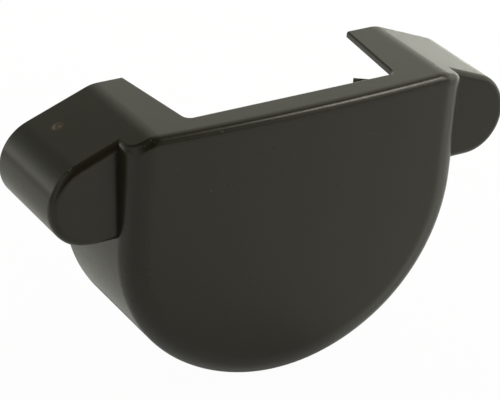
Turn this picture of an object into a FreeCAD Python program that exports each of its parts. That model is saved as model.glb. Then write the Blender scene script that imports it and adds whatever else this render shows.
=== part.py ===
import FreeCAD, Part
import math
import os

# End cap for a half-round rain gutter, one moulding; the wall is even but for the ear fronts.
# Frame: X across the gutter, Y from the plate towards the gutter, Z up.
# Origin: middle of the cap, at the side edges of the plate, level with the deck.

# Plate and skirt, outside
half_width = 54.0
overall_height = 84.3
bowl_flat = 3.2
bottom_spread = 3.6
depth = 34.9
plate_bulge = 2.1
wall = 1.7

# Rounded edges of the plate
side_radius = 4.8
top_radius = 2.2

# Deck and the opening in it
deck_margin = 7.3
slope_angle = 20.9
break_radius = 10.0
ledge = 6.7
arm_front = 13.4
arm_back = 10.0
corner_radius = 2.0
edge_radius = 0.7

# Ears over the rims of the gutter
ear_setback = 5.6
ear_rake = 3.3
ear_overhang = 19.8
ear_height = 31.1
ear_radius = 2.1

# Tongues under the arms
tongue_inset = 3.8
tongue_width = 14.0
tongue_length = 20.0
tongue_drop = 6.75
tongue_angle = 15.0

# Fits that follow from the sizes above
bottom_radius = half_width + bottom_spread
side_height = overall_height - half_width + bowl_flat
deck_half = half_width - deck_margin
opening_front = deck_half - arm_front
opening_back = deck_half - arm_back
ear_reach = half_width + ear_overhang
ear_lean = math.tan(math.radians(ear_rake))
ear_stop = ear_setback + wall
tongue_start = opening_front - tongue_inset
slope = math.radians(slope_angle)
far = 2.0 * ear_reach


def point(x, z, y=0.0):
    return FreeCAD.Vector(x, y, z)


def line(a, b):
    return Part.LineSegment(point(*a), point(*b)).toShape()


def arc(centre, radius, start, end):
    # Arc in the XZ plane, angles in radians from +X towards +Z.
    def at(angle):
        return point(centre[0] + radius * math.cos(angle), centre[1] + radius * math.sin(angle))
    return Part.Arc(at(start), at((start + end) / 2), at(end)).toShape()


def prism(edges, front, back):
    # Solid between two Y values from a closed outline in the XZ plane.
    face = Part.Face(Part.Wire(edges))
    face.translate(FreeCAD.Vector(0, front, 0))
    return face.extrude(FreeCAD.Vector(0, back - front, 0))


def mirrored(shape):
    return shape.mirror(FreeCAD.Vector(0, 0, 0), FreeCAD.Vector(1, 0, 0))


def shoulder_radius():
    # Arc that leaves the straight side and runs smoothly into the bottom arc.
    lift = overall_height - bottom_radius - side_height
    return (bottom_radius ** 2 - half_width ** 2 - lift ** 2) / (2 * (bottom_radius - half_width))


def skirt_outline(inset, top):
    # Straight sides, two shoulder arcs and the bottom arc, moved inwards by the inset.
    radius = shoulder_radius()
    shoulder = (half_width - radius, -side_height)
    middle = (0.0, bottom_radius - overall_height)
    turn = math.atan2(shoulder[1] - middle[1], shoulder[0] - middle[0])
    side = half_width - inset
    low = bottom_radius - inset
    join = (middle[0] + low * math.cos(turn), middle[1] + low * math.sin(turn))
    right = arc(shoulder, radius - inset, 0.0, turn)
    left = arc((-shoulder[0], shoulder[1]), radius - inset, math.pi - turn, math.pi)
    bottom = arc(middle, low, turn, -math.pi - turn)
    return [line((side, top), (side, -side_height)), right, bottom, left,
            line((-side, -side_height), (-side, top)), line((-side, top), (side, top))]


def break_points(drop):
    # Ends of the soft break between deck and slope, and its centre, at a depth below the top.
    radius = break_radius - drop
    start = deck_half - break_radius * math.tan(slope / 2)
    centre = (start, -break_radius)
    end = (start + radius * math.sin(slope), -break_radius + radius * math.cos(slope))
    return start, centre, radius, end


def slope_point(x, drop):
    end = break_points(drop)[3]
    return (x, end[1] - (x - end[0]) * math.tan(slope))


def above_top(drop):
    # Everything over the deck and both slopes, to be cut away.
    start, centre, radius, end = break_points(drop)
    reach = slope_point(far, drop)
    edges = [line((-start, -drop), (start, -drop)),
             arc(centre, radius, math.pi / 2, math.pi / 2 - slope),
             line(end, reach), line(reach, (far, far)), line((far, far), (-far, far)),
             line((-far, far), (-far, reach[1])), line((-far, reach[1]), (-end[0], end[1])),
             arc((-centre[0], centre[1]), radius, math.pi / 2 + slope, math.pi / 2)]
    return prism(edges, -depth, 2 * depth)


def bulge_cylinder(inset):
    # Upright cylinder whose near side is the face of the plate.
    radius = (half_width ** 2 + plate_bulge ** 2) / (2 * plate_bulge)
    centre = point(0, -2 * overall_height, radius - plate_bulge)
    return Part.makeCylinder(radius - inset, 4 * overall_height, centre)


def front_edges(shape, top):
    # Edges of the curved front face, without the straight cut at its top.
    front = min(shape.Faces, key=lambda face: face.CenterOfMass.y)
    return [edge for edge in front.Edges if edge.CenterOfMass.z < top - 1]


def top_edges(shape):
    # Edges where deck, breaks and slopes end at the front.
    found = []
    for edge in shape.Edges:
        box = edge.BoundBox
        if box.YMax < side_radius - 0.1 and box.ZMin > -ear_height / 2 and box.XLength > box.YLength:
            found.append(edge)
    return found


def plate_and_skirt():
    top = break_radius
    body = prism(skirt_outline(0.0, top), -2 * plate_bulge, depth).common(bulge_cylinder(0.0))
    body = body.makeFillet(side_radius, front_edges(body, top))
    body = body.cut(above_top(0.0))
    return body.makeFillet(top_radius, top_edges(body))


def trough():
    top = break_radius
    body = prism(skirt_outline(wall, top), -2 * plate_bulge, 2 * depth).common(bulge_cylinder(wall))
    body = body.makeFillet(side_radius - wall, front_edges(body, top))
    return body.cut(above_top(wall))


def ear_outline(inner, inset):
    # Slope above, one round nose and a level underside.
    run = math.tan(slope)
    reach = ear_reach - deck_half
    nose = (ear_height - reach * run) / (1 + 1 / math.cos(slope) - run)
    centre = (ear_reach - nose, nose - ear_height)
    radius = nose - inset
    tangent = math.pi / 2 - slope
    upper = (centre[0] + radius * math.cos(tangent), centre[1] + radius * math.sin(tangent))
    start = (inner, upper[1] + (upper[0] - inner) * run)
    lower = (centre[0], centre[1] - radius)
    return [line(start, upper), arc(centre, radius, tangent, -math.pi / 2),
            line(lower, (inner, lower[1])), line((inner, lower[1]), start)]


def ahead_of_ear():
    # Everything before the ear's front, which comes forward towards its foot.
    def front(z):
        return ear_setback + ear_lean * (z + ear_height / 4)
    top = break_radius
    foot = -2 * ear_height
    corners = [(front(foot), foot), (front(top), top), (-far, top), (-far, foot), (front(foot), foot)]
    wire = Part.makePolygon([point(0.0, z, y) for y, z in corners])
    return Part.Face(wire).extrude(FreeCAD.Vector(far, 0, 0))


def ear():
    inner = half_width - side_radius / 2
    body = prism(ear_outline(inner, 0.0), 0.0, depth).cut(ahead_of_ear())
    front = min(body.Faces, key=lambda face: face.CenterOfMass.y)
    chosen = [edge for edge in front.Edges if edge.CenterOfMass.x > inner + 0.1]
    return body.makeFillet(ear_radius, chosen)


def ear_hollow():
    # Its front stays upright, as the stop for the gutter's rim.
    body = prism(ear_outline(opening_back, wall), ear_stop, 2 * depth)
    return body.cut(above_top(wall))


def opening():
    corners = [(-opening_front, ledge), (opening_front, ledge)]
    spread = (opening_back - opening_front) / (depth - ledge)
    back = opening_front + spread * (2 * depth - ledge)
    corners += [(back, 2 * depth), (-back, 2 * depth)]
    wire = Part.makePolygon([point(x, break_radius, y) for x, y in corners + corners[:1]])
    body = Part.Face(wire).extrude(FreeCAD.Vector(0, 0, -break_radius - 1.5 * wall))
    upright = []
    for edge in body.Edges:
        if edge.BoundBox.ZLength > wall and edge.BoundBox.YMax < 2 * ledge:
            upright.append(edge)
    return body.makeFillet(corner_radius, upright)


def tongue():
    fall = tongue_width * math.tan(math.radians(tongue_angle))
    end = tongue_start + tongue_width
    a = (tongue_start, -tongue_drop)
    b = (end, -tongue_drop - fall)
    edges = [line(a, b), line(b, (b[0], b[1] - wall)), line((b[0], b[1] - wall), (a[0], a[1] - wall)),
             line((a[0], a[1] - wall), a)]
    return prism(edges, 0.0, tongue_length)


def rounded_opening(shape):
    # Small radius along the upper edge of the opening.
    chosen = []
    for edge in shape.Edges:
        box = edge.BoundBox
        if box.ZLength < 0.01 and abs(box.ZMax) < 0.01 and box.YMin > ledge - 0.1 and box.XMax < deck_half - 5:
            if box.XMin > -deck_half + 5 and box.YMin < depth - 0.1:
                chosen.append(edge)
    return shape.makeFillet(edge_radius, chosen)


def end_cap():
    right_ear = ear()
    shell = plate_and_skirt().fuse([right_ear, mirrored(right_ear)])
    hollow = ear_hollow()
    inside = trough().fuse([hollow, mirrored(hollow)])
    shell = shell.cut(inside).cut(opening())
    shell = rounded_opening(shell.removeSplitter())
    right_tongue = tongue()
    return shell.fuse([right_tongue, mirrored(right_tongue)]).removeSplitter()


os.makedirs("parts", exist_ok=True)
cap = end_cap()
if cap.ShapeType == "Compound" and len(cap.Solids) == 1:
    cap = cap.Solids[0]
cap.exportStep("parts/end_cap.step")
box = cap.BoundBox
print("end_cap", cap.ShapeType, "valid", cap.isValid(), "solids", len(cap.Solids), "volume", round(cap.Volume))
print("box", [round(v, 2) for v in (box.XMin, box.YMin, box.ZMin, box.XMax, box.YMax, box.ZMax)])
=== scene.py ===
import math

import bpy
from mathutils import Matrix, Vector


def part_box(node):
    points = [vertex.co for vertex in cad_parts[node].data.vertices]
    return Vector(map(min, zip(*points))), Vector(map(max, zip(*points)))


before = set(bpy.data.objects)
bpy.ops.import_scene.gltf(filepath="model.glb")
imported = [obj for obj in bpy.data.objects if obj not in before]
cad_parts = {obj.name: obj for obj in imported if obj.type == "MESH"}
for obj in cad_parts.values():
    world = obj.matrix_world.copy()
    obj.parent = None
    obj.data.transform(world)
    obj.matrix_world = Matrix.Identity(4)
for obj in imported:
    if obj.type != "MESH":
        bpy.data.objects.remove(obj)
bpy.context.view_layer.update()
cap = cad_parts["end_cap"]
low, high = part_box("end_cap")
print("frame loaded, cap", [round(1000 * (b - a), 1) for a, b in zip(low, high)], "mm")


class Wire:
    # A node's output that can stand in a sum
    def __init__(self, tree, socket):
        self.tree = tree
        self.socket = socket

    def math(self, operation, *values):
        return self.tree.node("ShaderNodeMath", {"operation": operation}, dict(enumerate(values)))

    def __add__(self, other):
        return self.math("ADD", self, other)

    def __radd__(self, other):
        return self.math("ADD", other, self)

    def __sub__(self, other):
        return self.math("SUBTRACT", self, other)

    def __rsub__(self, other):
        return self.math("SUBTRACT", other, self)

    def __mul__(self, other):
        return self.math("MULTIPLY", self, other)

    def __rmul__(self, other):
        return self.math("MULTIPLY", other, self)

    def __truediv__(self, other):
        return self.math("DIVIDE", self, other)

    def power(self, exponent):
        return self.math("POWER", self, exponent)

    def between(self, start, end):
        # 0 at the start, 1 at the end, smooth in the middle
        return self.tree.node("ShaderNodeMapRange", {"interpolation_type": "SMOOTHSTEP"},
                              {"Value": self, "From Min": start, "From Max": end})


class Tree:
    def __init__(self, owner):
        owner.use_nodes = True
        self.tree = owner.node_tree
        self.tree.nodes.clear()

    def node(self, kind, settings=None, sockets=None, output=0):
        made = self.tree.nodes.new(kind)
        for name, value in (settings or {}).items():
            setattr(made, name, value)
        for name, value in (sockets or {}).items():
            if isinstance(value, Wire):
                self.tree.links.new(value.socket, made.inputs[name])
            else:
                made.inputs[name].default_value = value
        return Wire(self, made.outputs[output]) if made.outputs else None

    def blend(self, share, first, second):
        # Colours: the first at share 0, the second at 1
        return self.node("ShaderNodeMix", {"data_type": "RGBA"}, {0: share, 6: first, 7: second}, 2)

    def dot(self, vector, direction):
        return self.node("ShaderNodeVectorMath", {"operation": "DOT_PRODUCT"}, {0: vector, 1: direction}, 1)

    def offset(self, vector, point):
        return self.node("ShaderNodeVectorMath", {"operation": "SUBTRACT"}, {0: vector, 1: point})

    def distance(self, vector, point):
        return self.node("ShaderNodeVectorMath", {"operation": "DISTANCE"}, {0: vector, 1: point}, 1)

    def choose(self, share, first, second):
        # Numbers, in the same way
        return self.node("ShaderNodeMix", {}, {0: share, 2: first, 3: second})


# Moulded plastic

# Each noise has its scale and its detail
plastic = {
    "base": (0.0190, 0.0175, 0.0086, 1),
    "warm": (0.0210, 0.0171, 0.0086, 1),
    "bend": 1.5,           # index of refraction
    "roughness": 0.26,
    "cloud": (35.0, 3.0),
    "cloudEdge": (0.35, 0.65),
    "cloudRough": 0.05,
    "grain": (900.0, 2.0),
    "grainRough": 0.04,
    "grainHeight": 0.12,
    "wave": (110.0, 1.0),
    "bump": 0.3,
    "bumpHeight": 0.00006,
}

# The tongues under the arms are duller, like all the inside that lies below, behind and
# within these limits
tongue = {
    "roughness": 0.7,
    "below": (-0.0066, -0.0060),
    "behind": (0.003, 0.005),
    "within": (0.045, 0.046),
}

# Injection mark on the left ear's slope: a dark disc, a pale dot, and part of a pale ring on one side of
# its rim, which is a painted highlight
gate = {
    "place": Vector((-0.06136, 0.02599, -0.00560)),
    "colour": (0.060, 0.038, 0.018, 1),
    "edge": (0.0014, 0.0021),
    "share": 0.95,
    "height": 0.6,
    "pale": (0.19, 0.16, 0.11, 1),
    "ringInside": (0.0004, 0.0010),
    "ringOutside": (0.0010, 0.0016),
    "ringSide": (-0.83, 0.56, 0.0),
    "ringFrom": (0.0002, 0.0010),
    "dotShift": Vector((0.0004, -0.0005, 0.0002)),
    "dotEdge": (0.0002, 0.0006),
    "dotShare": 0.6,
}

# Small pale spots: pale specks on the plate's front, and painted glints and a painted highlight on the left
# round edges. Place and radius in millimetres, and how pale. The core, a share of the radius,
# # is evenly pale.
millimetre = 0.001
speckAndGlintLook = {"colour": (0.16, 0.155, 0.14, 1), "core": 0.3}
specksAndGlints = [
    # Pale specks on the plate's front
    ((-29.49, -1.46, -18.70), 0.42, 0.45),
    ((-40.34, -0.91, -9.86), 0.45, 0.22),
    ((-27.27, -1.42, -1.48), 0.42, 0.4),
    ((-27.97, -1.29, -1.24), 0.35, 0.2),
    ((21.36, -1.77, -12.64), 0.4, 0.16),
    ((9.24, -2.03, -15.02), 0.5, 0.12),
    ((13.09, -1.97, -26.01), 0.45, 0.12),
    ((5.81, -2.06, -25.94), 0.4, 0.1),
    # Painted glints on the top-left round edge
    ((-47.62, 0.64, -0.67), 0.5, 0.28),
    ((-46.91, 0.03, -0.97), 0.4, 0.2),
    ((-49.51, 0.33, -1.71), 0.4, 0.16),
    ((-50.36, 0.64, -1.81), 0.4, 0.14),
    # Painted glints where the left ear meets the plate's top
    ((-55.38, 7.91, -3.32), 0.55, 0.18),
    ((-53.57, 5.73, -2.99), 0.75, 0.5),
    # A painted glint streak along the left ear's front round edge
    ((-67.54, 7.22, -8.14), 0.5, 0.5),
    ((-66.97, 7.33, -7.83), 0.4, 0.45),
    ((-70.32, 7.01, -10.32), 0.4, 0.25),
    ((-69.79, 6.95, -9.83), 0.4, 0.3),
    ((-69.23, 6.94, -9.36), 0.4, 0.3),
    ((-68.66, 6.96, -8.92), 0.4, 0.25),
    # A painted highlight at the left ear's bottom corner
    ((-54.00, 6.68, -32.33), 0.8, 0.3),
]


# The plate's outline has an arc at each side and one along the bottom. Its edges look
# rounder than they are: the shading normal leans outwards before the round edge starts.
plate = {
    "halfWidth": 0.054,
    "sideHeight": 0.0335,
    "bottomRadius": 0.0576,
    "edge": 0.0048,
    "softFrom": 0.0080,
    "lean": 0.3,
    "topEdge": 0.0022,
    "topSoftFrom": 0.0034,
    "topLean": 0.16,
    "slopeStart": 0.0458,
    "slopeFall": 0.382,
    "frontEnd": 0.0052,
}


def insidePlate(tree, x, z):
    # How far inside the outline a point is, and the way straight out from it
    side, bottom = plate["halfWidth"], plate["bottomRadius"]
    level = -plate["sideHeight"]
    middle = low.z + bottom
    radius = (bottom ** 2 - side ** 2 - (middle - level) ** 2) / (2 * (bottom - side))
    across = x.math("ABSOLUTE", x)
    beyond = (middle - z) * (side - radius) - across * (middle - level)
    under = beyond.math("GREATER_THAN", beyond, 0.0)
    outX = across - (1 - under) * (side - radius)
    outZ = z - tree.choose(under, z.math("MAXIMUM", z, level), middle)
    length = (outX * outX + outZ * outZ).power(0.5)
    return (bottom - radius) * under + radius - length, outX / length * x.math("SIGN", x), outZ / length


def softEdge(tree, x, y, z):
    # The shading normal, which leans outwards near the edges of the plate's front
    inside, outX, outZ = insidePlate(tree, x, z)
    slope = x.math("ABSOLUTE", x) - plate["slopeStart"]
    depth = 0.0 - z - slope.math("MAXIMUM", slope, 0.0) * plate["slopeFall"]
    lean = inside.between(plate["softFrom"], plate["edge"]) * plate["lean"]
    rise = depth.between(plate["topSoftFrom"], plate["topEdge"]) * plate["topLean"]
    normal = tree.node("ShaderNodeNewGeometry", output="Normal")
    facing = tree.dot(normal, (0, -1, 0))
    share = facing.math("MAXIMUM", facing, 0.0) * y.math("LESS_THAN", y, plate["frontEnd"])
    share = share * inside.math("GREATER_THAN", inside, 0.0)
    turn = tree.node("ShaderNodeCombineXYZ", {}, {0: outX * lean * share, 2: (outZ * lean + rise) * share})
    turned = tree.node("ShaderNodeVectorMath", {"operation": "ADD"}, {0: normal, 1: turn})
    return tree.node("ShaderNodeVectorMath", {"operation": "NORMALIZE"}, {0: turned})


def makeNoise(tree, place, scale, detail):
    return tree.node("ShaderNodeTexNoise", {}, {"Vector": place, "Scale": scale, "Detail": detail})


def addGate(tree, place, colour):
    # The colour with the injection mark in it, with a painted highlight on one side of its rim, and the
    # mark's disc
    away = tree.distance(place, gate["place"])
    disc = 1 - away.between(*gate["edge"])
    colour = tree.blend(disc * gate["share"], colour, gate["colour"])
    # Painted highlight: a pale part of a ring on one side of the mark's rim
    aside = tree.dot(tree.offset(place, gate["place"]), gate["ringSide"]).between(*gate["ringFrom"])
    litRim = away.between(*gate["ringInside"]) * (1 - away.between(*gate["ringOutside"])) * aside
    dot = 1 - tree.distance(place, gate["place"] + gate["dotShift"]).between(*gate["dotEdge"])
    return tree.blend(litRim + dot * gate["dotShare"], colour, gate["pale"]), disc


def makePlastic():
    material = bpy.data.materials.new("brownPlastic")
    tree = Tree(material)
    place = tree.node("ShaderNodeTexCoord", output="Object")
    x, y, z = (tree.node("ShaderNodeSeparateXYZ", {}, {0: place}, i) for i in range(3))
    cloud = makeNoise(tree, place, *plastic["cloud"])
    grain = makeNoise(tree, place, *plastic["grain"])
    wave = makeNoise(tree, place, *plastic["wave"])
    colour = tree.blend(cloud.between(*plastic["cloudEdge"]), plastic["base"], plastic["warm"])
    colour, disc = addGate(tree, place, colour)
    # Pale specks, and painted glints and a painted highlight on the left round edges
    for point, size, pale in specksAndGlints:
        radius = size * millimetre
        away = tree.distance(place, Vector(point) * millimetre)
        spot = 1 - away.between(speckAndGlintLook["core"] * radius, radius)
        colour = tree.blend(spot * pale, colour, speckAndGlintLook["colour"])

    dull = (1 - z.between(*tongue["below"])) * y.between(*tongue["behind"])
    dull = dull * (1 - (x * x).between(*[limit ** 2 for limit in tongue["within"]]))
    rough = plastic["roughness"] + (cloud - 0.5) * plastic["cloudRough"]
    rough = rough + (grain - 0.5) * plastic["grainRough"]
    rough = rough + dull * (tongue["roughness"] - plastic["roughness"])
    height = grain * plastic["grainHeight"] + wave + disc * gate["height"]
    bump = tree.node("ShaderNodeBump", {}, {"Strength": plastic["bump"], "Distance": plastic["bumpHeight"],
                                            "Height": height, "Normal": softEdge(tree, x, y, z)})
    shader = tree.node("ShaderNodeBsdfPrincipled", {}, {"Base Color": colour, "Roughness": rough,
                                                        "Normal": bump, "IOR": plastic["bend"]})
    tree.node("ShaderNodeOutputMaterial", {}, {"Surface": shader})
    return material


cap.data.materials.clear()
cap.data.materials.append(makePlastic())
print("plastic done")


# Floor

# White is the share of plain white that the camera sees, mirrored the one that reflections see
floorPlan = {"radius": 3.0, "colour": (0.8, 0.8, 0.8, 1), "white": 0.97, "mirrored": 0.21}
plainWhite = (1, 1, 1, 1)


def makeFloor():
    mesh = bpy.data.meshes.new("floor")
    r = floorPlan["radius"]
    mesh.from_pydata([(-r, -r, 0), (r, -r, 0), (r, r, 0), (-r, r, 0)], [], [(0, 1, 2, 3)])
    floor = bpy.data.objects.new("floor", mesh)
    bpy.context.scene.collection.objects.link(floor)
    floor.location.z = low.z
    material = bpy.data.materials.new("paleFloor")
    tree = Tree(material)
    seen = tree.node("ShaderNodeLightPath", output="Is Camera Ray")
    mirrored = tree.node("ShaderNodeLightPath", output="Is Glossy Ray")
    lit = tree.node("ShaderNodeBsdfDiffuse", {}, {"Color": floorPlan["colour"]})
    white = tree.node("ShaderNodeEmission", {}, {"Color": plainWhite, "Strength": 1.0})
    share = seen * floorPlan["white"] + mirrored * floorPlan["mirrored"]
    both = tree.node("ShaderNodeMixShader", {}, {0: share, 1: lit, 2: white})
    tree.node("ShaderNodeOutputMaterial", {}, {"Surface": both})
    mesh.materials.append(material)


makeFloor()

# Light

# Soft patches of brightness around the cap: azimuth, from the gutter's side towards
# the right, and elevation, both in degrees, then sharpness and strength
glows = [
    (-120, 8, 9, 0.6),
    (-90, 42, 9, 0.55),
    (-45, 2, 40, 1.3),
    (-38, 4, 9, 0.63),
    (5, 8, 9, 0.9),
    (20, 0, 40, 2.3),
    (43, 0, 40, 0.4),
    (45, 8, 9, 0.34),
    (60, 42, 9, 1.0),
    (90, 8, 9, 1.15),
    (130, 8, 9, 0.4),
    (145, 15, 40, 0.6),
]
tint = (0.99, 1.0, 0.88, 1)

# Soft boxes stand in a direction and face the cap, table lamps hang at a place and face down
softBoxes = [
    {"azimuth": 125, "elevation": 43, "distance": 1.6, "size": 0.36, "power": 4.2},
    {"azimuth": 125, "elevation": 27, "distance": 1.6, "size": 0.45, "power": 1.9},
]
softTint = (1.0, 0.96, 0.84)
tableLamps = [
    {"place": (0.35, 0.35, 0.22), "size": 0.3, "power": 1.4},
    {"place": (0.60, 0.45, 0.25), "size": 0.3, "power": 3.8},
    {"place": (-0.25, 0.25, 0.10), "size": 0.2, "power": 0.18},
]


def towards(azimuth, elevation):
    # The direction with these two angles, in radians
    flat = Vector((math.sin(azimuth), math.cos(azimuth), 0)) * math.cos(elevation)
    return flat + Vector((0, 0, math.sin(elevation)))


def makeWorld():
    world = bpy.data.worlds.new("studio")
    bpy.context.scene.world = world
    tree = Tree(world)
    direction = tree.node("ShaderNodeTexCoord", output="Generated")
    glow = 0.0
    for azimuth, elevation, sharpness, strength in glows:
        facing = tree.dot(direction, towards(math.radians(azimuth), math.radians(elevation)))
        glow = glow + facing.math("MAXIMUM", facing, 0.0).power(sharpness) * strength
    seen = tree.node("ShaderNodeLightPath", output="Is Camera Ray")
    colour = tree.blend(seen, tint, plainWhite)
    sky = tree.node("ShaderNodeBackground", {}, {"Color": colour, "Strength": glow * (1 - seen) + seen})
    tree.node("ShaderNodeOutputWorld", {}, {"Surface": sky})


def makeLamp(name, size, power, colour, place, back):
    lamp = bpy.data.lights.new(name, "AREA")
    lamp.size = size
    lamp.energy = power
    lamp.color = colour
    thing = bpy.data.objects.new(name, lamp)
    thing.location = place
    thing.rotation_mode = "QUATERNION"
    thing.rotation_quaternion = back.to_track_quat("Z", "Y")
    bpy.context.scene.collection.objects.link(thing)
    return thing


makeWorld()
for number, plan in enumerate(softBoxes):
    side = towards(math.radians(plan["azimuth"]), math.radians(plan["elevation"]))
    makeLamp("softBox%d" % number, plan["size"], plan["power"], softTint, side * plan["distance"], side)
up = Vector((0, 0, 1))
for number, plan in enumerate(tableLamps):
    lamp = makeLamp("tableLamp%d" % number, plan["size"], plan["power"], tint[:3], plan["place"], up)
    lamp.data.shape = "DISK"
    lamp.visible_glossy = False
print("light done")

# Camera

# Angles in radians, focal length in pixels of a picture of this width, sensor in millimetres
cameraPlan = {
    "azimuth": 0.5940,
    "elevation": 0.5043,
    "roll": 0.0759,
    "focal": 2140.1,
    "width": 500,
    "sensor": 36,
    "place": (-0.29880, -0.41873, 0.25349),
}


def makeCamera():
    azimuth, elevation, roll = cameraPlan["azimuth"], cameraPlan["elevation"], cameraPlan["roll"]
    right = Vector((math.cos(azimuth), -math.sin(azimuth), 0))
    ahead = towards(azimuth, -elevation)
    up = right.cross(ahead)
    x = right * math.cos(roll) + up * math.sin(roll)
    y = up * math.cos(roll) - right * math.sin(roll)
    data = bpy.data.cameras.new("camera")
    data.sensor_width = cameraPlan["sensor"]
    data.lens = cameraPlan["focal"] / cameraPlan["width"] * cameraPlan["sensor"]
    camera = bpy.data.objects.new("camera", data)
    turn = Matrix((x, y, -ahead)).transposed().to_4x4()
    camera.matrix_world = Matrix.Translation(cameraPlan["place"]) @ turn
    bpy.context.scene.collection.objects.link(camera)
    bpy.context.scene.camera = camera


makeCamera()
bpy.context.scene.view_settings.view_transform = "Standard"
print("scene done")
